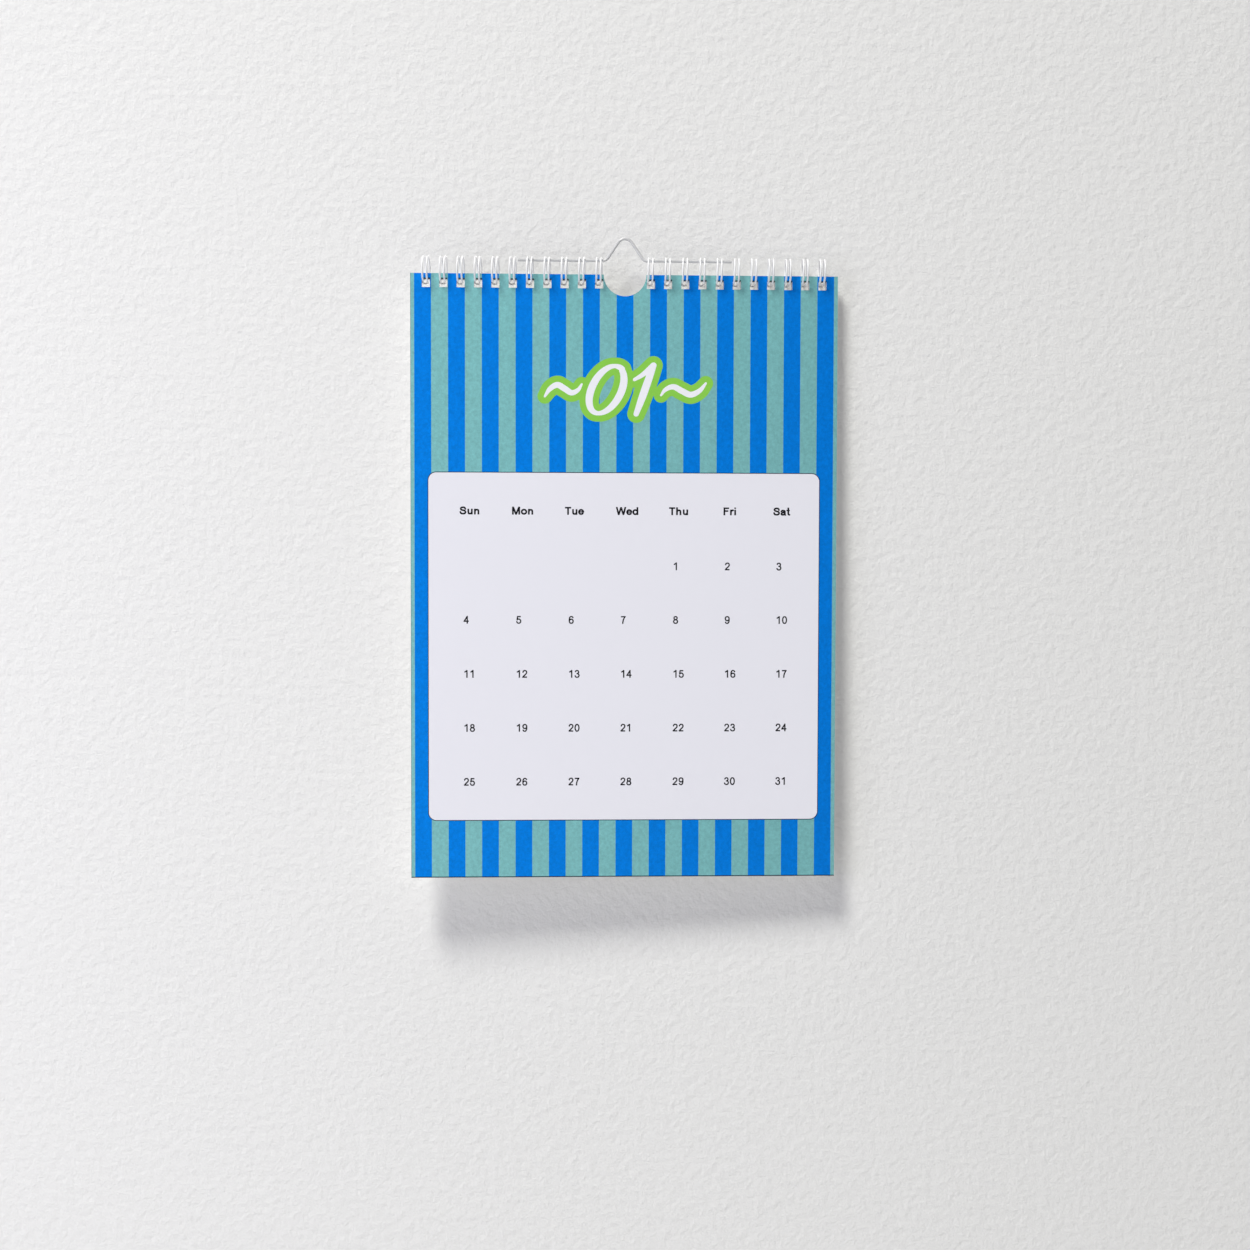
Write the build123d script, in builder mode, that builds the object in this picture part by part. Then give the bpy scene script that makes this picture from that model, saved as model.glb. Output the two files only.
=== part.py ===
"""Wire-bound A4 wall calendar with a thumb cut and a wire hanger.

Millimetres. The origin is the underside of the hanger's eye, where it bears on
a nail or screw. +X is to the reader's right, +Y goes away from the reader
(towards the wall) and +Z is up.
"""
import os
from math import cos, pi, radians, sin, tan

from build123d import *

os.makedirs("parts", exist_ok=True)

# ---------------------------------------------------------------- dimensions
# sheets: A4 portrait
sheet_w = 210.0
sheet_h = 297.0
leaf_t = 0.20            # one leaf, about 200 g/m2 coated paper
later_leaves = 11        # leaves behind the first one
board_t = 0.60           # stiff backing board
air = 0.05               # air between leaves that turn apart
front_face_y = -0.95     # front face of the first leaf, from the ring centre

# thumb cut at the middle of the top edge
thumb_r = 10.5

# punching, 3 holes to the inch
pitch = 25.4 / 3
positions = 24           # places on the full width
skipped = (11, 12)       # the two at the middle, taken by the thumb cut
hole_w = 4.0
hole_h = 4.2
hole_top = 2.6           # from the sheet's top edge to the hole

# twin-loop wire, 1/2 inch
ring_od = 12.7
ring_wire = 0.95
pair_gap = 2.10          # centre to centre of the two wires of a loop
spine_bend = 1.0         # centreline radius where a loop turns into the spine
root_angle = -46.0       # where the loop's back run ends, from +Y
leave_angle = 258.0      # where the front run leaves the circle
nose_y = 2.60            # where the run ends and the rounded nose begins

# hanger, coated steel wire
hanger_wire = 1.5
hanger_len = 105.0
hump_h = 10.75           # from the rod's centreline to the eye's centreline
hump_slope = 56.0
hump_foot_r = 3.2
hump_top_r = 4.0
hanger_play = 0.05       # the rod's clearance under the loops' tops
page_below_ring = 2.3    # from the ring centre down to the sheet's top edge

# ---------------------------------------------------------------- levels
rod_z = hanger_wire / 2 - hump_h
ring_r = (ring_od - ring_wire) / 2
ring_z = rod_z + hanger_wire / 2 + hanger_play + ring_wire / 2 - ring_r
top_z = ring_z - page_below_ring
mid_z = top_z - sheet_h / 2
hole_z = top_z - hole_top - hole_h / 2
ring_x = [(i - (positions - 1) / 2) * pitch for i in range(positions) if i not in skipped]

first_y = front_face_y                       # front faces, front to back
later_y = first_y + leaf_t + air
later_t = later_leaves * leaf_t
board_y = later_y + later_t + air
print(f"rod z {rod_z:.3f}, ring centre z {ring_z:.3f}, sheet top z {top_z:.3f}, stack y {first_y:.2f} to {board_y + board_t:.2f}")

hole_places = [(x, hole_z - mid_z) for x in ring_x]


# ---------------------------------------------------------------- first leaf
# Sheets are drawn on planes that face the reader, so +Y of the sketch is up.
with BuildPart() as front_leaf:
    with BuildSketch(Plane(origin=(0, first_y + leaf_t, mid_z), x_dir=(1, 0, 0), z_dir=(0, -1, 0))):
        Rectangle(sheet_w, sheet_h)
        with Locations((0, sheet_h / 2)):
            Circle(thumb_r, mode=Mode.SUBTRACT)
        with Locations(*hole_places):
            Rectangle(hole_w, hole_h, mode=Mode.SUBTRACT)
    extrude(amount=leaf_t)
front_leaf.part.label = "front_leaf"

# ---------------------------------------------------------------- later leaves
# the eleven leaves behind the first one, as a block
with BuildPart() as month_leaves:
    with BuildSketch(Plane(origin=(0, later_y + later_t, mid_z), x_dir=(1, 0, 0), z_dir=(0, -1, 0))):
        Rectangle(sheet_w, sheet_h)
        with Locations((0, sheet_h / 2)):
            Circle(thumb_r, mode=Mode.SUBTRACT)
        with Locations(*hole_places):
            Rectangle(hole_w, hole_h, mode=Mode.SUBTRACT)
    extrude(amount=later_t)
month_leaves.part.label = "month_leaves"

# ---------------------------------------------------------------- backing board
with BuildPart() as backing_board:
    with BuildSketch(Plane(origin=(0, board_y + board_t, mid_z), x_dir=(1, 0, 0), z_dir=(0, -1, 0))):
        Rectangle(sheet_w, sheet_h)
        with Locations((0, sheet_h / 2)):
            Circle(thumb_r, mode=Mode.SUBTRACT)
        with Locations(*hole_places):
            Rectangle(hole_w, hole_h, mode=Mode.SUBTRACT)
    extrude(amount=board_t)
backing_board.part.label = "backing_board"

# ---------------------------------------------------------------- binding wires
# One loop is two parallel wires joined by a rounded nose. From the root behind
# the board each wire goes up the back, over the top, down the front and through
# the hole, and the nose stops close under the root. The spine joins neighbours.
half = pair_gap / 2


def ring_point(x, degrees):
    """A point on the ring's centreline, with the angle taken from +Y."""
    a = radians(degrees)
    return (x, ring_r * cos(a), ring_z + ring_r * sin(a))


# direction of the back run at the root, going down it
down_y, down_z = sin(radians(root_angle)), -cos(radians(root_angle))
root_y = ring_r * cos(radians(root_angle))
root_z = ring_z + ring_r * sin(radians(root_angle))
spine_y = root_y + down_y * spine_bend
spine_z = root_z + down_z * spine_bend
# direction of the run through the hole
away_y, away_z = -sin(radians(leave_angle)), cos(radians(leave_angle))
leave_y = ring_r * cos(radians(leave_angle))
leave_z = ring_z + ring_r * sin(radians(leave_angle))
run = (nose_y - leave_y) / away_y
end_z = leave_z + run * away_z
print(f"spine y {spine_y:.3f} z {spine_z:.3f}, nose tip y {nose_y + half * away_y:.3f} z {end_z + half * away_z:.3f}")


def bend_point(x, side, share):
    """A point on the quarter bend from the back run out to the spine."""
    a = radians(90 * share)
    out, drop = spine_bend * (1 - cos(a)), spine_bend * sin(a)
    return (x + side * out, root_y + down_y * drop, root_z + down_z * drop)


def loop_run(x, side):
    """One wire of a loop, from its spine end to the nose."""
    ThreePointArc(bend_point(x, side, 1), bend_point(x, side, 0.5), bend_point(x, side, 0))
    mid = (root_angle + leave_angle) / 2
    ThreePointArc(ring_point(x, root_angle), ring_point(x, mid), ring_point(x, leave_angle))
    Line(ring_point(x, leave_angle), (x, nose_y, end_z))


def comb_path(xs):
    """The whole wire's centreline through a row of loops, left to right."""
    for n, x in enumerate(xs):
        loop_run(x - half, -1)
        ThreePointArc(
            (x - half, nose_y, end_z),
            (x, nose_y + half * away_y, end_z + half * away_z),
            (x + half, nose_y, end_z),
        )
        loop_run(x + half, 1)
        if n + 1 < len(xs):
            Line(
                (x + half + spine_bend, spine_y, spine_z),
                (xs[n + 1] - half - spine_bend, spine_y, spine_z),
            )


left_xs = [x for x in ring_x if x < 0]
right_xs = [x for x in ring_x if x > 0]

with BuildPart() as binding_wire_left:
    with BuildLine() as left_path:
        comb_path(left_xs)
    with BuildSketch(Plane(origin=(left_xs[0] - half - spine_bend, spine_y, spine_z), x_dir=(0, 1, 0), z_dir=(1, 0, 0))):
        Circle(ring_wire / 2)
    sweep(path=left_path.wires()[0])
binding_wire_left.part.label = "binding_wire_left"

with BuildPart() as binding_wire_right:
    with BuildLine() as right_path:
        comb_path(right_xs)
    with BuildSketch(Plane(origin=(right_xs[0] - half - spine_bend, spine_y, spine_z), x_dir=(0, 1, 0), z_dir=(1, 0, 0))):
        Circle(ring_wire / 2)
    sweep(path=right_path.wires()[0])
binding_wire_right.part.label = "binding_wire_right"

# ---------------------------------------------------------------- hanger
# A straight rod inside the loops' tops, raised to an eye over the thumb cut.
foot_x = (hump_h + hump_top_r * (1 / cos(radians(hump_slope)) - 1)) / tan(radians(hump_slope))
with BuildPart() as hanger:
    with BuildLine() as hanger_path:
        FilletPolyline(
            (-hanger_len / 2, 0, rod_z),
            (-foot_x, 0, rod_z),
            (0, 0, rod_z + foot_x * tan(radians(hump_slope))),
            (foot_x, 0, rod_z),
            (hanger_len / 2, 0, rod_z),
            radius=[hump_foot_r, hump_top_r, hump_foot_r],
        )
    with BuildSketch(Plane(origin=(-hanger_len / 2, 0, rod_z), x_dir=(0, 1, 0), z_dir=(1, 0, 0))):
        Circle(hanger_wire / 2)
    sweep(path=hanger_path.wires()[0])
    fillet(hanger.edges().group_by(Axis.X)[0] + hanger.edges().group_by(Axis.X)[-1], radius=0.3)
hanger.part.label = "hanger"
print(f"hump foot corner x {foot_x:.3f}, bend starts at x {foot_x + hump_foot_r * tan(radians(hump_slope / 2)):.3f}")

for name, made, path in (
    ("left wire", binding_wire_left, left_path),
    ("right wire", binding_wire_right, right_path),
):
    length = sum(e.length for e in path.edges())
    print(f"{name}: {length:.1f} mm long, volume {made.part.volume:.2f}, section times length {pi * (ring_wire / 2) ** 2 * length:.2f}")

# ---------------------------------------------------------------- files
export_step(hanger.part, "parts/hanger.step")
export_step(binding_wire_left.part, "parts/binding_wire_left.step")
export_step(binding_wire_right.part, "parts/binding_wire_right.step")
export_step(front_leaf.part, "parts/front_leaf.step")
export_step(month_leaves.part, "parts/month_leaves.step")
export_step(backing_board.part, "parts/backing_board.step")
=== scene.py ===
import math

import bmesh
import bpy
import numpy as np
from mathutils import Matrix, Vector


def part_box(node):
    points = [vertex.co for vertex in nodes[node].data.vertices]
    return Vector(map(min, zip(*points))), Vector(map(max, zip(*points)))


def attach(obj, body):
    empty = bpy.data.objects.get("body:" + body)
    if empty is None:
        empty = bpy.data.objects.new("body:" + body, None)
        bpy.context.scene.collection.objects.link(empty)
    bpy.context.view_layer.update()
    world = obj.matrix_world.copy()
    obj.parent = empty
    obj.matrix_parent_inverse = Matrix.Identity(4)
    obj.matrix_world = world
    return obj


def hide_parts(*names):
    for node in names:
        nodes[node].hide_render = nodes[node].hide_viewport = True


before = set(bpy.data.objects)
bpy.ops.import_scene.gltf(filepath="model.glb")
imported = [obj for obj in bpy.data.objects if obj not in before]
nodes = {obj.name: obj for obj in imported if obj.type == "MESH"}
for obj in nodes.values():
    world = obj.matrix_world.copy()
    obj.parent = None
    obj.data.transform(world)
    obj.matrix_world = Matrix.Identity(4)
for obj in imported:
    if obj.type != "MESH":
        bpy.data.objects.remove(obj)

MM = 0.001
scene = bpy.context.scene


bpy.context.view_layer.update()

leaf_lo, leaf_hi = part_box("front_leaf")
later_lo, later_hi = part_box("month_leaves")
board_lo, board_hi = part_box("backing_board")
TOP = leaf_hi.z / MM                 # the sheets' top edge, mm
FRONT = leaf_lo.y / MM               # the first leaf's printed face, mm
LATER = later_lo.y / MM + 0.06       # the second leaf's printed face, mm, clear of the leaf in front
W = (leaf_hi.x - leaf_lo.x) / MM
H = (leaf_hi.z - leaf_lo.z) / MM

# punching and thumb cut, as on the CAD sheets
PITCH = 25.4 / 3
HOLES_X = [(i - 11.5) * PITCH for i in range(24) if i not in (11, 12)]
HOLE_W, HOLE_H, HOLE_TOP, THUMB_R = 4.0, 4.2, 2.6, 10.5

# printed layout, mm from the sheet's top edge and centreline
STRIPE = 8.25
PANEL_HALF, PANEL_TOP, PANEL_BOTTOM, PANEL_R = 96.7, 96.7, 268.8, 4.2
LABEL_Z = 115.7
LABEL_X = [-76.1, -50.1, -24.7, 1.4, 26.8, 52.0, 77.7]
DAY_X = [-79.3, -53.5, -27.7, -2.0, 23.9, 49.5, 75.1]
ROW_Z = [142.9, 169.4, 196.1, 222.8, 249.5]
HEADING_Z = 56.2


# ------------------------------------------------------------------ materials
def new_material(name):
    mat = bpy.data.materials.new(name)
    mat.use_nodes = True
    nt = mat.node_tree
    return mat, nt, nt.nodes["Principled BSDF"]


def add(nt, kind, **inputs):
    n = nt.nodes.new(kind)
    for k, v in inputs.items():
        n.inputs[k].default_value = v
    return n


def maths(nt, op, a, b=None, c=None):
    n = nt.nodes.new("ShaderNodeMath")
    n.operation = op
    for i, v in enumerate((a, b, c)):
        if v is None:
            continue
        if isinstance(v, (int, float)):
            n.inputs[i].default_value = v
        else:
            nt.links.new(v, n.inputs[i])
    return n.outputs[0]


def blend_colours(nt, factor, a, b):
    n = nt.nodes.new("ShaderNodeMix")
    n.data_type = "RGBA"
    nt.links.new(factor, n.inputs[0]) if not isinstance(factor, (int, float)) else setattr(n.inputs[0], "default_value", factor)
    for sock, v in ((n.inputs[6], a), (n.inputs[7], b)):
        if isinstance(v, tuple):
            sock.default_value = (*v, 1)
        else:
            nt.links.new(v, sock)
    return n.outputs[2]


def noise(nt, coord, scale, detail=3.0, rough=0.55):
    n = add(nt, "ShaderNodeTexNoise", Scale=scale, Detail=detail, Roughness=rough)
    nt.links.new(coord, n.inputs["Vector"])
    return n.outputs["Fac"]


def bump(nt, height, strength, distance, normal=None):
    n = add(nt, "ShaderNodeBump", Strength=strength, Distance=distance)
    nt.links.new(height, n.inputs["Height"])
    if normal is not None:
        nt.links.new(normal, n.inputs["Normal"])
    return n.outputs["Normal"]


def spread(nt, value, low, high):
    n = nt.nodes.new("ShaderNodeMapRange")
    nt.links.new(value, n.inputs["Value"])
    n.inputs["To Min"].default_value = low
    n.inputs["To Max"].default_value = high
    return n.outputs["Result"]


def paper_relief(nt, coord, normal_in=None, strength=0.25):
    """Fibre grain and slow cockling of a coated sheet."""
    fibres = noise(nt, coord, 1400.0, 4.0, 0.65)
    slow = noise(nt, coord, 9.0, 1.0, 0.4)
    fine = bump(nt, fibres, strength, 0.00003, normal_in)
    return bump(nt, slow, 0.35, 0.0012, fine)


def printed_paper(name, blue, teal, paper):
    """Stripes on the side that faces the reader, bare paper on the back and edges."""
    mat, nt, bsdf = new_material(name)
    tc = nt.nodes.new("ShaderNodeTexCoord")
    at = nt.nodes.new("ShaderNodeSeparateXYZ")
    nt.links.new(tc.outputs["Object"], at.inputs[0])
    way = nt.nodes.new("ShaderNodeSeparateXYZ")
    nt.links.new(tc.outputs["Normal"], way.inputs[0])
    # stripes run the sheet's whole height, a narrow teal margin left at each side
    turns = maths(nt, "MULTIPLY", maths(nt, "ADD", at.outputs["X"], (12.5 * STRIPE + 20 * STRIPE) * MM), 1 / (2 * STRIPE * MM))
    phase = maths(nt, "FRACT", turns)
    is_teal = maths(nt, "GREATER_THAN", phase, 0.5)
    inks = blend_colours(nt, is_teal, blue, teal)
    # coarse ink grain that shows the paper's tooth, over a slow unevenness
    grain = spread(nt, noise(nt, tc.outputs["Object"], 640.0, 5.0, 0.75), 0.60, 1.40)
    drift = spread(nt, noise(nt, tc.outputs["Object"], 14.0, 2.0, 0.5), 0.98, 1.02)
    hsv = nt.nodes.new("ShaderNodeHueSaturation")
    nt.links.new(inks, hsv.inputs["Color"])
    # Painted shade, fitted to the photo and not a property of the print: the photo's stripes darken
    # from left to right more than these lights make them, so the rest of that shade is painted into the ink.
    painted_falloff = maths(nt, "MULTIPLY_ADD", at.outputs["X"], -0.13 / (W * MM), 0.965)
    nt.links.new(maths(nt, "MULTIPLY", maths(nt, "MULTIPLY", grain, drift), painted_falloff), hsv.inputs["Value"])
    # The photo has a dark line along the bottom and a faint one down the left side; what makes it isn't known.
    low = maths(nt, "LESS_THAN", at.outputs["Z"], (TOP - H + 0.50) * MM)
    side = maths(nt, "MULTIPLY", maths(nt, "LESS_THAN", at.outputs["X"], (-W / 2 + 0.22) * MM), 0.55)
    edged = blend_colours(nt, maths(nt, "MAXIMUM", maths(nt, "MULTIPLY", low, 0.92), side), hsv.outputs["Color"], (0.006, 0.016, 0.03))
    # A painted line over each punched hole stands in for the shadow the photo shows there.
    column = maths(nt, "ABSOLUTE", maths(nt, "SUBTRACT", maths(nt, "FRACT", maths(nt, "MULTIPLY_ADD", at.outputs["X"], 1 / (PITCH * MM), 40.0)), 0.5))
    over = maths(nt, "MULTIPLY", maths(nt, "GREATER_THAN", at.outputs["Z"], (TOP - HOLE_TOP - 0.1) * MM), maths(nt, "LESS_THAN", at.outputs["Z"], (TOP - HOLE_TOP + 0.42) * MM))
    punch = maths(nt, "MULTIPLY", maths(nt, "LESS_THAN", column, 0.5 * HOLE_W / PITCH), maths(nt, "LESS_THAN", maths(nt, "ABSOLUTE", at.outputs["X"]), 100 * MM))
    painted_hole_shadow = maths(nt, "MULTIPLY", maths(nt, "MULTIPLY", over, punch), 0.8)
    edged = blend_colours(nt, painted_hole_shadow, edged, (0.006, 0.012, 0.02))
    facing = maths(nt, "LESS_THAN", way.outputs["Y"], -0.5)
    # The upper wall of each punched hole is painted dark, for the shadow the photo shows.
    punched = maths(nt, "MULTIPLY", maths(nt, "LESS_THAN", way.outputs["Z"], -0.5), maths(nt, "GREATER_THAN", at.outputs["Z"], (TOP - 9) * MM))
    bare = blend_colours(nt, spread(nt, noise(nt, tc.outputs["Object"], 500.0), 0.0, 1.0), paper, tuple(v * 0.955 for v in paper))
    cut = blend_colours(nt, punched, bare, (0.05, 0.05, 0.055))
    nt.links.new(blend_colours(nt, facing, cut, edged), bsdf.inputs["Base Color"])
    nt.links.new(spread(nt, noise(nt, tc.outputs["Object"], 260.0, 4.0), 0.46, 0.60), bsdf.inputs["Roughness"])
    bsdf.inputs["Specular IOR Level"].default_value = 0.06
    nt.links.new(paper_relief(nt, tc.outputs["Object"]), bsdf.inputs["Normal"])
    return mat


def ink(name, colour, rough=0.46, mottle=0.02):
    """A printed field: one ink colour with slight mottle on the paper's grain."""
    mat, nt, bsdf = new_material(name)
    tc = nt.nodes.new("ShaderNodeTexCoord")
    dark = tuple(v * (1 - 2 * mottle) for v in colour)
    mix = blend_colours(nt, spread(nt, noise(nt, tc.outputs["Object"], 900.0, 5.0, 0.7), 0.0, 1.0), colour, dark)
    nt.links.new(mix, bsdf.inputs["Base Color"])
    nt.links.new(spread(nt, noise(nt, tc.outputs["Object"], 260.0, 4.0), rough - 0.05, rough + 0.07), bsdf.inputs["Roughness"])
    bsdf.inputs["Specular IOR Level"].default_value = 0.06
    nt.links.new(paper_relief(nt, tc.outputs["Object"]), bsdf.inputs["Normal"])
    return mat


def coated_wire(name, colour, rough, scale):
    """White plastic coating over drawn wire: satin, with faint ripples and scuffs."""
    mat, nt, bsdf = new_material(name)
    tc = nt.nodes.new("ShaderNodeTexCoord")
    scuff = noise(nt, tc.outputs["Object"], scale * 3, 5.0, 0.6)
    mix = blend_colours(nt, spread(nt, scuff, 0.0, 1.0), colour, tuple(v * 0.93 for v in colour))
    nt.links.new(mix, bsdf.inputs["Base Color"])
    nt.links.new(spread(nt, noise(nt, tc.outputs["Object"], scale, 3.0), rough - 0.08, rough + 0.1), bsdf.inputs["Roughness"])
    bsdf.inputs["Specular IOR Level"].default_value = 0.5
    bsdf.inputs["Coat Weight"].default_value = 0.25
    bsdf.inputs["Coat Roughness"].default_value = 0.2
    nt.links.new(bump(nt, noise(nt, tc.outputs["Object"], scale * 1.5, 3.0), 0.3, 0.00005), bsdf.inputs["Normal"])
    return mat


def backing(name):
    """White-lined board: pale faces with fibre flecks, and a brown-grey core on its cut edges."""
    mat, nt, bsdf = new_material(name)
    tc = nt.nodes.new("ShaderNodeTexCoord")
    way = nt.nodes.new("ShaderNodeSeparateXYZ")
    nt.links.new(tc.outputs["Normal"], way.inputs[0])
    fleck = noise(nt, tc.outputs["Object"], 1100.0, 6.0, 0.75)
    ramp = nt.nodes.new("ShaderNodeValToRGB")
    ramp.color_ramp.elements[0].position = 0.30
    ramp.color_ramp.elements[0].color = (0.50, 0.485, 0.455, 1)
    ramp.color_ramp.elements[1].position = 0.46
    ramp.color_ramp.elements[1].color = (0.68, 0.675, 0.655, 1)
    nt.links.new(fleck, ramp.inputs["Fac"])
    layers = nt.nodes.new("ShaderNodeTexWave")
    layers.wave_type, layers.bands_direction = "BANDS", "Y"
    layers.inputs["Scale"].default_value = 900.0
    layers.inputs["Distortion"].default_value = 1.2
    nt.links.new(tc.outputs["Object"], layers.inputs["Vector"])
    core = blend_colours(nt, layers.outputs["Fac"], (0.42, 0.38, 0.33), (0.52, 0.48, 0.42))
    flat = maths(nt, "GREATER_THAN", maths(nt, "ABSOLUTE", way.outputs["Y"]), 0.5)
    nt.links.new(blend_colours(nt, flat, core, ramp.outputs["Color"]), bsdf.inputs["Base Color"])
    nt.links.new(spread(nt, fleck, 0.72, 0.88), bsdf.inputs["Roughness"])
    bsdf.inputs["Specular IOR Level"].default_value = 0.25
    nt.links.new(paper_relief(nt, tc.outputs["Object"], strength=0.6), bsdf.inputs["Normal"])
    return mat


BLUE = (0.0, 0.193, 0.715)
TEAL = (0.195, 0.47, 0.487)
PAPER = (0.80, 0.80, 0.85)
print_front = printed_paper("striped_print", BLUE, TEAL, PAPER)
panel_ink = ink("panel_paper", (0.80, 0.80, 0.87), mottle=0.012)
line_ink = ink("line_ink", (0.012, 0.02, 0.045), 0.5, 0.1)
type_ink = ink("type_ink", (0.010, 0.010, 0.014), 0.5, 0.1)
lime_ink = ink("lime_ink", (0.262, 0.62, 0.085), mottle=0.05)
white_ink = ink("heading_white", (0.85, 0.86, 0.92), mottle=0.012)
wire_coat = coated_wire("binding_coat", (0.86, 0.865, 0.88), 0.30, 400.0)
hanger_coat = coated_wire("hanger_coat", (0.60, 0.605, 0.62), 0.24, 320.0)
board_mat = backing("lined_board")


def dress(obj, mat):
    obj.data.materials.clear()
    obj.data.materials.append(mat)


dress(nodes["front_leaf"], print_front)
dress(nodes["backing_board"], board_mat)
dress(nodes["hanger"], hanger_coat)


# ------------------------------------------------------------------ flat pieces
# Flat shapes are drawn in mm with x to the right and y up, and stand in the
# row frame facing the reader, their front at the given depth.
def stand(mesh, depth_front, thickness):
    """Turns a mesh drawn in x, y, z (mm, z from 0 to thickness towards the reader) upright."""
    mesh.transform(Matrix(((MM, 0, 0, 0), (0, 0, -MM, (depth_front + thickness) * MM), (0, MM, 0, 0), (0, 0, 0, 1))))


def filled(name, loops, depth_front, thickness, mat, body):
    """A closed flat piece whose outline and holes are the given loops of points."""
    cu = bpy.data.curves.new(name + "_outline", "CURVE")
    cu.dimensions, cu.fill_mode = "2D", "BOTH"
    cu.extrude = thickness / 2
    for pts in loops:
        s = cu.splines.new("POLY")
        s.points.add(len(pts) - 1)
        s.points.foreach_set("co", [c for x, y in pts for c in (x, y, 0.0, 1.0)])
        s.use_cyclic_u = True
    tmp = bpy.data.objects.new(name + "_tmp", cu)
    scene.collection.objects.link(tmp)
    dg = bpy.context.evaluated_depsgraph_get()
    mesh = bpy.data.meshes.new_from_object(tmp.evaluated_get(dg))
    bpy.data.objects.remove(tmp)
    bpy.data.curves.remove(cu)
    mesh.transform(Matrix.Translation((0, 0, thickness / 2)))
    stand(mesh, depth_front, thickness)
    return finish_flat(name, mesh, mat, body)


def finish_flat(name, mesh, mat, body):
    bm = bmesh.new()
    bm.from_mesh(mesh)
    bmesh.ops.remove_doubles(bm, verts=bm.verts, dist=1e-7)
    bmesh.ops.dissolve_degenerate(bm, edges=bm.edges, dist=1e-7)
    bmesh.ops.recalc_face_normals(bm, faces=bm.faces)
    bm.to_mesh(mesh)
    bm.free()
    mesh.name = name
    obj = bpy.data.objects.new(name, mesh)
    scene.collection.objects.link(obj)
    mesh.materials.clear()
    mesh.materials.append(mat)
    for p in mesh.polygons:
        p.use_smooth = False
    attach(obj, body)
    return obj


def rounded(x0, y0, x1, y1, r, steps=12):
    pts = []
    for cx, cy, a0 in ((x1 - r, y1 - r, 0), (x0 + r, y1 - r, 90), (x0 + r, y0 + r, 180), (x1 - r, y0 + r, 270)):
        for k in range(steps + 1):
            a = math.radians(a0 + 90 * k / steps)
            pts.append((cx + r * math.cos(a), cy + r * math.sin(a)))
    return pts


def sheet_loops(trim=(0, 0, 0), corner=0.0):
    """A sheet's outline with its thumb cut and punched holes. trim takes a little off left, right and bottom."""
    left, right, low = -W / 2 + trim[0], W / 2 - trim[1], TOP - H + trim[2]
    outline = [(left, TOP), (left, low), (right, low), (right, TOP)]
    cut = [(THUMB_R * math.cos(math.radians(a)), TOP + THUMB_R * math.sin(math.radians(a))) for a in np.linspace(0, -180, 49)]
    outline += cut
    loops = [outline]
    for x in HOLES_X:
        z1, z0 = TOP - HOLE_TOP, TOP - HOLE_TOP - HOLE_H
        loops.append([(x - HOLE_W / 2, z0), (x + HOLE_W / 2, z0), (x + HOLE_W / 2, z1), (x - HOLE_W / 2, z1)])
    return loops


# ------------------------------------------------------------------ heading
def distance_field(strokes, xs, ys):
    """Distance to the strokes' inked edge, negative inside. A stroke is points of (x, y, half width)."""
    gx, gy = np.meshgrid(xs, ys)
    best = np.full(gx.shape, 1e9)
    for s in strokes:
        s = np.asarray(s, float)
        for (x0, y0, r0), (x1, y1, r1) in zip(s[:-1], s[1:]):
            dx, dy = x1 - x0, y1 - y0
            t = np.clip(((gx - x0) * dx + (gy - y0) * dy) / max(dx * dx + dy * dy, 1e-9), 0, 1)
            best = np.minimum(best, np.hypot(gx - x0 - t * dx, gy - y0 - t * dy) - (r0 + t * (r1 - r0)))
    return best


def contours(field, xs, ys, level):
    """Closed outlines where the field crosses a level, by marching squares."""
    v = field - level
    v[v == 0] = 1e-9
    joins = {}

    def cut(a, b):
        (i0, j0), (i1, j1) = a, b
        t = v[j0, i0] / (v[j0, i0] - v[j1, i1])
        return (xs[i0] + t * (xs[i1] - xs[i0]), ys[j0] + t * (ys[j1] - ys[j0]))

    points = {}
    inside = v < 0
    busy = (inside[:-1, :-1] != inside[1:, 1:]) | (inside[1:, :-1] != inside[:-1, 1:]) | (inside[:-1, :-1] != inside[1:, :-1])
    for j, i in zip(*np.nonzero(busy)):
        c = [(i, j), (i + 1, j), (i + 1, j + 1), (i, j + 1)]
        hit = []
        for k in range(4):
            a, b = c[k], c[(k + 1) % 4]
            if inside[a[1], a[0]] != inside[b[1], b[0]]:
                key = (min(a, b), max(a, b))
                points[key] = cut(*key)
                hit.append(key)
        pairs = [(hit[0], hit[1])] if len(hit) == 2 else [(hit[0], hit[1]), (hit[2], hit[3])] if len(hit) == 4 else []
        for p, q in pairs:
            joins.setdefault(p, []).append(q)
            joins.setdefault(q, []).append(p)
    loops, seen = [], set()
    for start in sorted(joins):
        if start in seen:
            continue
        loop, here, last = [], start, None
        while here not in seen:
            seen.add(here)
            loop.append(points[here])
            nxt = [k for k in joins[here] if k != last and k not in seen]
            if not nxt:
                break
            last, here = here, nxt[0]
        if len(loop) > 8:
            loops.append(loop)
    return loops


def smooth_curve(knots, per=14):
    """A smooth run of (x, y, half width) through the knots."""
    k = [np.array(p, float) for p in knots]
    k = [2 * k[0] - k[1]] + k + [2 * k[-1] - k[-2]]
    out = []
    for a, b, c, d in zip(k[:-3], k[1:-2], k[2:-1], k[3:]):
        for n in range(per):
            t = n / per
            out.append(0.5 * (2 * b + (c - a) * t + (2 * a - 5 * b + 4 * c - d) * t * t + (3 * b - a - 3 * c + d) * t ** 3))
    out.append(k[-2])
    return [(p[0], p[1], max(p[2], 0.35)) for p in out]


# ------------------------------------------------------------------ lettering
# A plain sans drawn from strokes, in units of its capital height. A glyph is
# its advance and its parts: ("bar", x0, y0, x1, y1) or ("pen", points).
def arc(cx, cy, rx, ry, a0, a1, n=28):
    return [(cx + rx * math.cos(math.radians(a)), cy + ry * math.sin(math.radians(a))) for a in np.linspace(a0, a1, n)]


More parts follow.
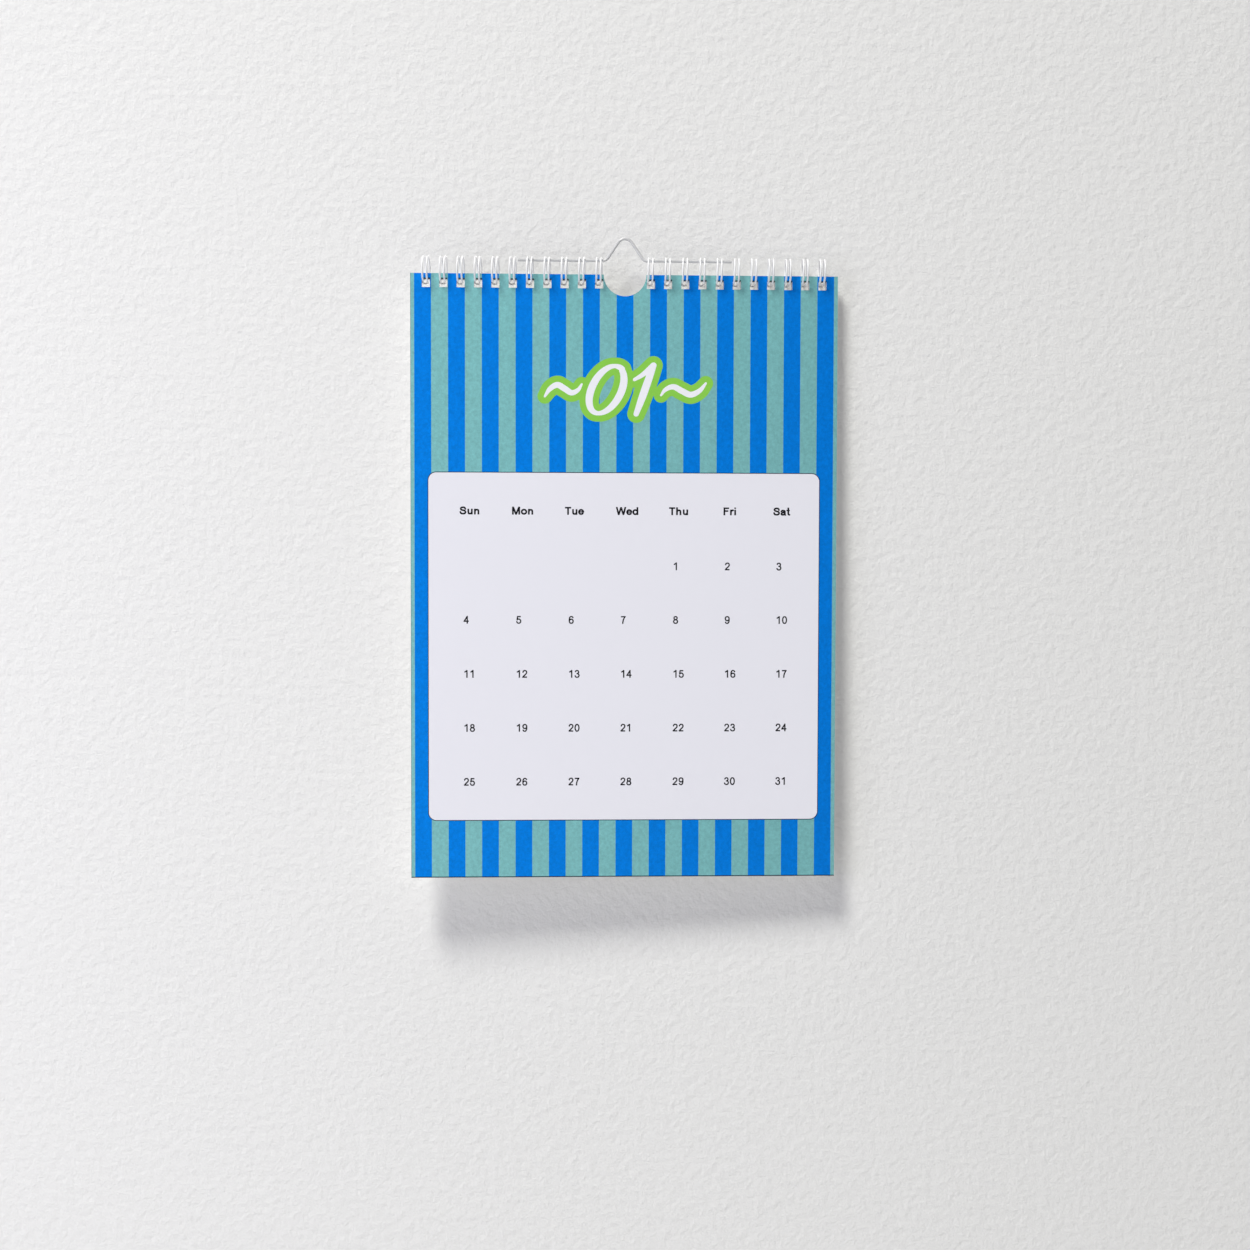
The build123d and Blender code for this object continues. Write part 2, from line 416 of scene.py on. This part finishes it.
def run(*knots, per=10):
    """A smooth line through the knots."""
    return [(x, y) for x, y, _ in smooth_curve([(x, y, 1.0) for x, y in knots], per)]


def stem(x, y0, y1, h):
    return ("bar", x - h, y0, x + h, y1)


def figures(h):
    six = [("pen", arc(0.39, 0.32, 0.245, 0.262, 0, 360, 44)), ("pen", arc(0.405, 0.54, 0.26, 0.405, 38, 180) + [(0.145, 0.34)])]
    nine = [("pen", [(0.78 - x, 1 - y) for x, y in pts]) for _, pts in six]
    return {
        "0": (0.777, [("pen", arc(0.385, 0.5, 0.25, 0.445, 0, 360, 48))]),
        "1": (0.777, [stem(0.46, 0, 0.99, h), ("pen", run((0.455, 0.955), (0.37, 0.86), (0.20, 0.755)))]),
        "2": (0.777, [("pen", arc(0.39, 0.70, 0.235, 0.245, 172, -22) + [(0.53, 0.50), (0.36, 0.335), (0.22, 0.20), (0.15, 0.10), (0.125, h)]), ("bar", 0.085, 0, 0.665, 2 * h)]),
        "3": (0.777, [("pen", arc(0.375, 0.735, 0.205, 0.208, 165, -88)), ("pen", arc(0.38, 0.298, 0.25, 0.24, 88, -168))]),
        "4": (0.777, [stem(0.505, 0, 1, h), ("pen", [(0.50, 0.94), (0.11, 0.295)]), ("bar", 0.05, 0.24, 0.70, 0.24 + 2 * h)]),
        "5": (0.777, [("bar", 0.20, 1 - 2 * h, 0.64, 1), ("pen", [(0.235, 0.94), (0.17, 0.53)]), ("pen", arc(0.375, 0.33, 0.255, 0.272, 143, -168))]),
        "6": (0.777, six),
        "7": (0.777, [("bar", 0.09, 1 - 2 * h, 0.67, 1), ("pen", run((0.63, 0.935), (0.47, 0.68), (0.36, 0.36), (0.315, 0.0)))]),
        "8": (0.777, [("pen", arc(0.385, 0.745, 0.20, 0.197, 0, 360, 40)), ("pen", arc(0.385, 0.296, 0.25, 0.237, 0, 360, 44))]),
        "9": (0.777, nine),
    }


def letters(h):
    X = 0.725
    arch = [("pen", run((0.20, 0.40), (0.26, 0.575), (0.42, X - h), (0.585, 0.575), (0.635, 0.42))), stem(0.635, 0, 0.43, h)]
    return {
        "S": (0.93, [("pen", run((0.755, 0.70), (0.67, 0.86), (0.45, 0.908), (0.24, 0.85), (0.175, 0.715), (0.25, 0.605), (0.46, 0.535), (0.69, 0.455), (0.775, 0.29), (0.68, 0.145), (0.45, 0.092), (0.22, 0.15), (0.13, 0.31)))]),
        "M": (1.163, [stem(0.175, 0, 1, h), stem(0.985, 0, 1, h), ("pen", [(0.20, 0.96), (0.58, 0.04), (0.96, 0.96)])]),
        "T": (0.853, [stem(0.425, 0, 1, h), ("bar", 0.03, 1 - 1.8 * h, 0.82, 1)]),
        "W": (1.318, [("pen", [(0.09, 1.06), (0.355, 0.03), (0.66, 0.96), (0.965, 0.03), (1.23, 1.06)])]),
        "F": (0.853, [stem(0.20, 0, 1, h), ("bar", 0.2, 1 - 1.8 * h, 0.80, 1), ("bar", 0.2, 0.445, 0.71, 0.445 + 1.75 * h)]),
        "a": (0.777, [("pen", run((0.135, 0.525), (0.22, 0.605), (0.385, X - h), (0.55, 0.585), (0.60, 0.44))), ("pen", run((0.60, 0.44), (0.60, 0.18), (0.665, 0.03))),
                      ("pen", run((0.60, 0.40), (0.36, 0.375), (0.165, 0.28), (0.165, 0.14), (0.32, 0.085), (0.52, 0.14), (0.60, 0.27)))]),
        "d": (0.853, [stem(0.665, 0, 1, h), ("pen", arc(0.395, 0.362, 0.27, 0.27, 0, 360, 40))]),
        "e": (0.777, [("pen", arc(0.39, 0.362, 0.28, 0.27, 0, 318, 40)), ("bar", 0.11, 0.295, 0.72, 0.295 + 1.45 * h)]),
        "h": (0.853, [stem(0.19, 0, 1, h), *arch]),
        "i": (0.388, [stem(0.195, 0, X, h), stem(0.195, 0.83, 1, h)]),
        "n": (0.853, [stem(0.19, 0, X, h), *arch]),
        "o": (0.853, [("pen", arc(0.43, 0.362, 0.295, 0.27, 0, 360, 40))]),
        "r": (0.543, [stem(0.19, 0, X, h), ("pen", run((0.20, 0.38), (0.255, 0.56), (0.39, 0.64), (0.475, 0.63)))]),
        "t": (0.465, [("pen", run((0.255, 1.0), (0.255, 0.55), (0.265, 0.17), (0.40, 0.09))), ("bar", 0.02, X - 1.6 * h, 0.44, X)]),
        "u": (0.853, [stem(0.655, 0, X, h), stem(0.205, 0.30, X, h), ("pen", run((0.205, 0.31), (0.255, 0.15), (0.42, h), (0.585, 0.15), (0.65, 0.33)))]),
    }


def glyph_outlines(parts, h):
    """The outlines of a glyph, flat where its strokes meet the base and cap lines."""
    step = 0.0115
    xs, ys = np.arange(-0.12, 1.45, step), np.arange(-0.06, 1.08, step)
    gx, gy = np.meshgrid(xs, ys)
    best = np.full(gx.shape, 1e9)
    for kind, *rest in parts:
        if kind == "bar":
            x0, y0, x1, y1 = rest
            best = np.minimum(best, np.maximum(np.maximum(x0 - gx, gx - x1), np.maximum(y0 - gy, gy - y1)))
        else:
            best = np.minimum(best, distance_field([[(x, y, h) for x, y in rest[0]]], xs, ys))
    best = np.maximum(best, np.maximum(-0.012 - gy, gy - 1.012))
    return contours(best, xs, ys, 0.0)


def typeface(glyphs, h):
    return {c: (advance, glyph_outlines(parts, h)) for c, (advance, parts) in glyphs.items()}


def lettering(name, words, face, height, depth_front, thickness, mat, body):
    """One piece made of several words. Each is (text, x, centre y, align)."""
    loops = []
    for text, x, y, align in words:
        wide = sum(face[c][0] for c in text) * height
        at = x - (wide / 2 if align == "C" else 0.0)
        for c in text:
            advance, outlines = face[c]
            loops += [[(at + px * height, y - height / 2 + py * height) for px, py in o] for o in outlines]
            at += advance * height
    return filled(name, loops, depth_front, thickness, mat, body)


REGULAR_H, BOLD_H = 0.084, 0.110
regular = typeface(figures(REGULAR_H), REGULAR_H)
bold = typeface(letters(BOLD_H), BOLD_H)

# ------------------------------------------------------------------ heading numeral
SLANT = 0.34


def lean(knots):
    return [(x + SLANT * y, y, r) for x, y, r in knots]


def brush_zero(cx):
    pts = []
    for a in np.linspace(72, 72 + 374, 60):
        c, s = math.cos(math.radians(a)), math.sin(math.radians(a))
        pts.append((cx + 7.6 * c + 0.5 * (a > 420), 11.6 * s, 1.0 + 0.85 * abs(c)))
    return lean(pts)


def brush_one(cx):
    return [
        smooth_curve(lean([(cx - 6.4, 5.0, 0.8), (cx - 3.0, 7.6, 1.15), (cx + 0.6, 12.0, 1.5)])),
        smooth_curve(lean([(cx + 0.6, 12.0, 1.5), (cx + 0.5, 4.0, 1.85), (cx + 0.4, -4.0, 1.8), (cx + 0.2, -11.8, 1.3)])),
    ]


def brush_two(cx):
    return [
        smooth_curve(lean([
            (cx - 6.6, 6.0, 1.2), (cx - 4.6, 10.2, 1.2), (cx + 0.6, 12.0, 1.25), (cx + 5.4, 9.4, 1.7), (cx + 5.0, 4.2, 1.9),
            (cx + 0.2, -2.4, 1.55), (cx - 5.6, -9.4, 1.2),
        ])),
        smooth_curve([(cx - 10.6, -10.2, 1.1), (cx - 6.0, -9.6, 1.4), (cx - 0.6, -10.9, 1.6), (cx + 3.6, -10.4, 1.3), (cx + 5.4, -8.6, 0.7)]),
    ]


def side_strokes():
    """A tapered wave each side of the number."""
    left = [(-39.3, -3.4, 0.55), (-36.8, 0.2, 1.15), (-33.2, 2.2, 1.45), (-29.6, 0.4, 1.5), (-26.2, -1.6, 1.35), (-23.0, -0.2, 1.0), (-21.2, 2.6, 0.5)]
    right = [(39.9 - 1.22 * (x + 39.3), -y, r) for x, y, r in left]
    return [smooth_curve(left), smooth_curve(right)]


def heading(tag, strokes, depth, body):
    strokes = side_strokes() + strokes
    xs, ys = np.arange(-48, 48.01, 0.2), np.arange(-22, 22.01, 0.2)
    field = distance_field(strokes, xs, ys)

    def placed(level):
        return [[(x, y + TOP - HEADING_Z) for x, y in loop] for loop in contours(field.copy(), xs, ys, level)]

    filled("heading_contour" + tag, placed(3.1), depth - 0.03, 0.04, lime_ink, body)
    filled("heading_number" + tag, placed(0.0), depth - 0.06, 0.05, white_ink, body)


# ------------------------------------------------------------------ printed page
DAYS = ["Sun", "Mon", "Tue", "Wed", "Thu", "Fri", "Sat"]


def page_print(tag, figures, first_column, days, depth, body):
    top, low = TOP - PANEL_TOP, TOP - PANEL_BOTTOM
    filled("date_panel" + tag, [rounded(-PANEL_HALF, low, PANEL_HALF, top, PANEL_R)], depth - 0.03, 0.04, panel_ink, body)
    line = 0.36
    filled(
        "panel_outline" + tag,
        [
            rounded(-PANEL_HALF, low, PANEL_HALF, top, PANEL_R),
            rounded(-PANEL_HALF + line, low + line, PANEL_HALF - line, top - line, PANEL_R - line),
        ],
        depth - 0.05, 0.03, line_ink, body,
    )
    lettering(
        "weekday_labels" + tag,
        [(d, x, TOP - LABEL_Z, "C") for d, x in zip(DAYS, LABEL_X)],
        bold, 3.85, depth - 0.05, 0.03, type_ink, body,
    )
    words = []
    for n in range(days):
        place = first_column + n
        words.append((str(n + 1), DAY_X[place % 7], TOP - ROW_Z[place // 7], "L"))
    lettering("day_numbers" + tag, words, regular, 3.8, depth - 0.05, 0.03, type_ink, body)
    heading(tag, figures, depth, body)


page_print("", [brush_zero(-9.0), *brush_one(9.4)], 4, 31, FRONT, "first_leaf")
page_print("_next", [brush_zero(-9.6), *brush_two(8.6)], 0, 28, LATER, "later_leaves")

# ------------------------------------------------------------------ later leaves
# Eleven leaves with air between them and slightly uneven edges, in the block's place.
rng = np.random.default_rng(7)
count = 11
step = (later_hi.y / MM - LATER) / count
parts = []
for k in range(count):
    trim = tuple(rng.uniform(0.02, 0.28, 3)) if k else (0.05, 0.05, 0.05)
    leaf = filled(f"leaf_{k + 2}", sheet_loops(trim), LATER + k * step, step - 0.035, print_front, "later_leaves")
    parts.append(leaf)
for leaf in parts:
    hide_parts("month_leaves")


# ------------------------------------------------------------------ binding loops
# The wire follows the CAD path, leaned. Read off the photo, the front run stands
# about 0.9 mm left of where upright loops put it at the left end, 0.2 to 0.4 mm at the right.
# All loops lean the same 0.43 mm each way, which keeps the wire inside its hole at every angle.
RING_R, RING_Z, WIRE_R = 5.87, TOP + 2.3, 0.467
PAIR, BEND, ROOT, LEAVE, NOSE_Y = 1.05, 1.0, -46.0, 258.0, 2.60


def skewed(angle):
    return float(np.interp(angle, (ROOT, 0, 60, 120, 180, LEAVE), (0.25, 0.43, 0.25, -0.22, -0.43, -0.43)))


def loop_side(x, side):
    """One wire of a loop from its spine end to the nose, mm."""
    c, s = math.cos(math.radians(ROOT)), math.sin(math.radians(ROOT))
    down_y, down_z = s, -c
    pts = []
    for k in range(7):
        a = math.radians(90 * (1 - k / 6))
        out, drop = BEND * (1 - math.cos(a)), BEND * math.sin(a)
        pts.append((x + side * out + skewed(ROOT) * k / 6, RING_R * c + down_y * drop, RING_Z + RING_R * s + down_z * drop))
    for angle in np.linspace(ROOT, LEAVE, 52)[1:]:
        a = math.radians(angle)
        pts.append((x + skewed(angle), RING_R * math.cos(a), RING_Z + RING_R * math.sin(a)))
    a = math.radians(LEAVE)
    away_y, away_z = -math.sin(a), math.cos(a)
    reach = (NOSE_Y - RING_R * math.cos(a)) / away_y
    for k in (0.25, 0.5, 0.75, 1.0):
        pts.append((x + skewed(LEAVE), RING_R * math.cos(a) + away_y * reach * k, RING_Z + RING_R * math.sin(a) + away_z * reach * k))
    return pts, (away_y, away_z)


def comb(name, xs, replaced):
    """A row of twin loops as one bent wire."""
    path = []
    for x in xs:
        left, (away_y, away_z) = loop_side(x - PAIR, -1)
        right, _ = loop_side(x + PAIR, 1)
        _, y, z = left[-1]
        nose = []
        for k in range(1, 12):
            a = math.radians(180 * k / 12)
            out = PAIR * math.sin(a)
            nose.append((x + skewed(LEAVE) - PAIR * math.cos(a), y + away_y * out, z + away_z * out))
        path += left + nose + right[::-1]
    p = np.array(path)
    way = np.gradient(p, axis=0)
    way /= np.linalg.norm(way, axis=1)[:, None]
    across = np.array((0.0, 0.0, 1.0)) - way[0] * way[0][2]
    sides = 14
    turn = np.linspace(0, 2 * math.pi, sides, endpoint=False)
    verts = []
    for c, t in zip(p, way):
        across = across - t * (across @ t)
        across /= np.linalg.norm(across)
        other = np.cross(t, across)
        for a in turn:
            verts.append((c + WIRE_R * (math.cos(a) * across + math.sin(a) * other)) * MM)
    faces = [tuple(reversed(range(sides))), tuple(range((len(p) - 1) * sides, len(p) * sides))]
    for n in range(len(p) - 1):
        for k in range(sides):
            a, b = n * sides + k, n * sides + (k + 1) % sides
            faces.append((a, b, b + sides, a + sides))
    mesh = bpy.data.meshes.new(name)
    mesh.from_pydata([tuple(v) for v in verts], [], faces)
    bm = bmesh.new()
    bm.from_mesh(mesh)
    bmesh.ops.recalc_face_normals(bm, faces=bm.faces)
    bm.to_mesh(mesh)
    bm.free()
    for face in mesh.polygons:
        face.use_smooth = len(face.vertices) == 4
    obj = bpy.data.objects.new(name, mesh)
    scene.collection.objects.link(obj)
    mesh.materials.append(wire_coat)
    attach(obj, "binding")
    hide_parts(replaced)


comb("loops_left", [x for x in HOLES_X if x < 0], "binding_wire_left")
comb("loops_right", [x for x in HOLES_X if x > 0], "binding_wire_right")


# ------------------------------------------------------------------ stage
def camera_matrix():
    right = Vector((0.99916, -0.04101, 0.00231))
    ahead = Vector((0.04106, 0.9985, -0.03632))
    up = Vector((-0.00082, 0.03639, 0.99934))
    spot = Vector((-34.88, -856.48 + FRONT, -140.75 + TOP)) * MM
    return Matrix(
        (
            (right.x, up.x, -ahead.x, spot.x),
            (right.y, up.y, -ahead.y, spot.y),
            (right.z, up.z, -ahead.z, spot.z),
            (0, 0, 0, 1),
        )
    ), ahead


matrix, ahead = camera_matrix()
cam_data = bpy.data.cameras.new("camera")
cam_data.sensor_width = 36.0
cam_data.lens = 50.0
cam_data.clip_start, cam_data.clip_end = 0.01, 50.0
cam = bpy.data.objects.new("camera", cam_data)
scene.collection.objects.link(cam)
cam.matrix_world = matrix
scene.camera = cam


def plane(name, size_x, size_y, matrix_world, mat):
    mesh = bpy.data.meshes.new(name)
    x, y = size_x / 2, size_y / 2
    mesh.from_pydata([(-x, -y, 0), (x, -y, 0), (x, y, 0), (-x, y, 0)], [], [(0, 1, 2, 3)])
    obj = bpy.data.objects.new(name, mesh)
    scene.collection.objects.link(obj)
    obj.matrix_world = matrix_world
    mesh.materials.append(mat)
    return obj


def wall_material():
    """Pale painted plaster, seen only from the room's side."""
    mat, nt, bsdf = new_material("wall_paint")
    tc = nt.nodes.new("ShaderNodeTexCoord")
    bsdf.inputs["Base Color"].default_value = (0.785, 0.785, 0.785, 1)
    bsdf.inputs["Roughness"].default_value = 0.85
    bsdf.inputs["Specular IOR Level"].default_value = 0.2
    grain = noise(nt, tc.outputs["Object"], 210.0, 5.0, 0.62)
    nt.links.new(bump(nt, grain, 0.55, 0.0016), bsdf.inputs["Normal"])
    geo = nt.nodes.new("ShaderNodeNewGeometry")
    path = nt.nodes.new("ShaderNodeLightPath")
    clear = nt.nodes.new("ShaderNodeBsdfTransparent")
    mix = nt.nodes.new("ShaderNodeMixShader")
    # seen and lit through from behind, so the back can be looked at
    nt.links.new(maths(nt, "MAXIMUM", geo.outputs["Backfacing"], path.outputs["Is Shadow Ray"]), mix.inputs[0])
    nt.links.new(bsdf.outputs[0], mix.inputs[1])
    nt.links.new(clear.outputs[0], mix.inputs[2])
    nt.links.new(mix.outputs[0], nt.nodes["Material Output"].inputs["Surface"])
    return mat


def floor_material():
    mat, nt, bsdf = new_material("floor_pale")
    bsdf.inputs["Base Color"].default_value = (0.78, 0.78, 0.77, 1)
    bsdf.inputs["Roughness"].default_value = 0.7
    return mat


# The wall's tilt and distance are fitted to the photo's shadow: close behind the rings at
# the top right, and further off lower down.
GAP_X, GAP_Z, GAP_LOW = -0.041, -0.0195, 18.0 + FRONT
low = TOP - H
wall_out = Vector((GAP_X, -1.0, GAP_Z)).normalized()
wall_mid = Vector((0.0, GAP_LOW * MM + GAP_Z * 0.0, low * MM))
turn = wall_out.to_track_quat("Z", "Y").to_matrix().to_4x4()
plane("wall", 4.0, 3.0, Matrix.Translation(wall_mid) @ turn, wall_material())
plane("floor", 5.0, 5.0, Matrix.Translation((0, -1.5, -0.80)), floor_material())


def area_light(name, spot, aim, size, power, colour=(1, 1, 1)):
    data = bpy.data.lights.new(name, "AREA")
    data.shape = "DISK"
    data.size, data.energy, data.color = size, power, colour
    obj = bpy.data.objects.new(name, data)
    scene.collection.objects.link(obj)
    obj.location = spot
    obj.rotation_mode = "QUATERNION"
    obj.rotation_quaternion = (Vector(aim) - Vector(spot)).to_track_quat("-Z", "Y")
    return obj


area_light("key", (-1.145, -1.762, 3.10), (0.0, 0.0, -0.30), 1.04, 144.0, (1.0, 0.995, 0.935))
area_light("fill", (-0.90, -0.70, -0.15), (0.0, 0.0, -0.18), 0.8, 3.6, (0.87, 0.865, 1.0))
area_light("behind", (0.9, 1.9, 0.7), (0.0, 0.0, -0.16), 1.4, 26.0)

world = bpy.data.worlds.new("studio")
scene.world = world
world.use_nodes = True
wt = world.node_tree
room = wt.nodes["Background"]
room.inputs["Color"].default_value = (0.87, 0.86, 1.0, 1)
room.inputs["Strength"].default_value = 0.155
seen = wt.nodes.new("ShaderNodeBackground")
seen.inputs["Color"].default_value = (0.80, 0.80, 0.81, 1)
eye = wt.nodes.new("ShaderNodeLightPath")
pick = wt.nodes.new("ShaderNodeMixShader")
wt.links.new(eye.outputs["Is Camera Ray"], pick.inputs[0])
wt.links.new(room.outputs[0], pick.inputs[1])
wt.links.new(seen.outputs[0], pick.inputs[2])
wt.links.new(pick.outputs[0], wt.nodes["World Output"].inputs["Surface"])

scene.view_settings.view_transform = "Standard"
scene.view_settings.look = "None"
scene.view_settings.exposure = 0.0
scene.view_settings.gamma = 1.0
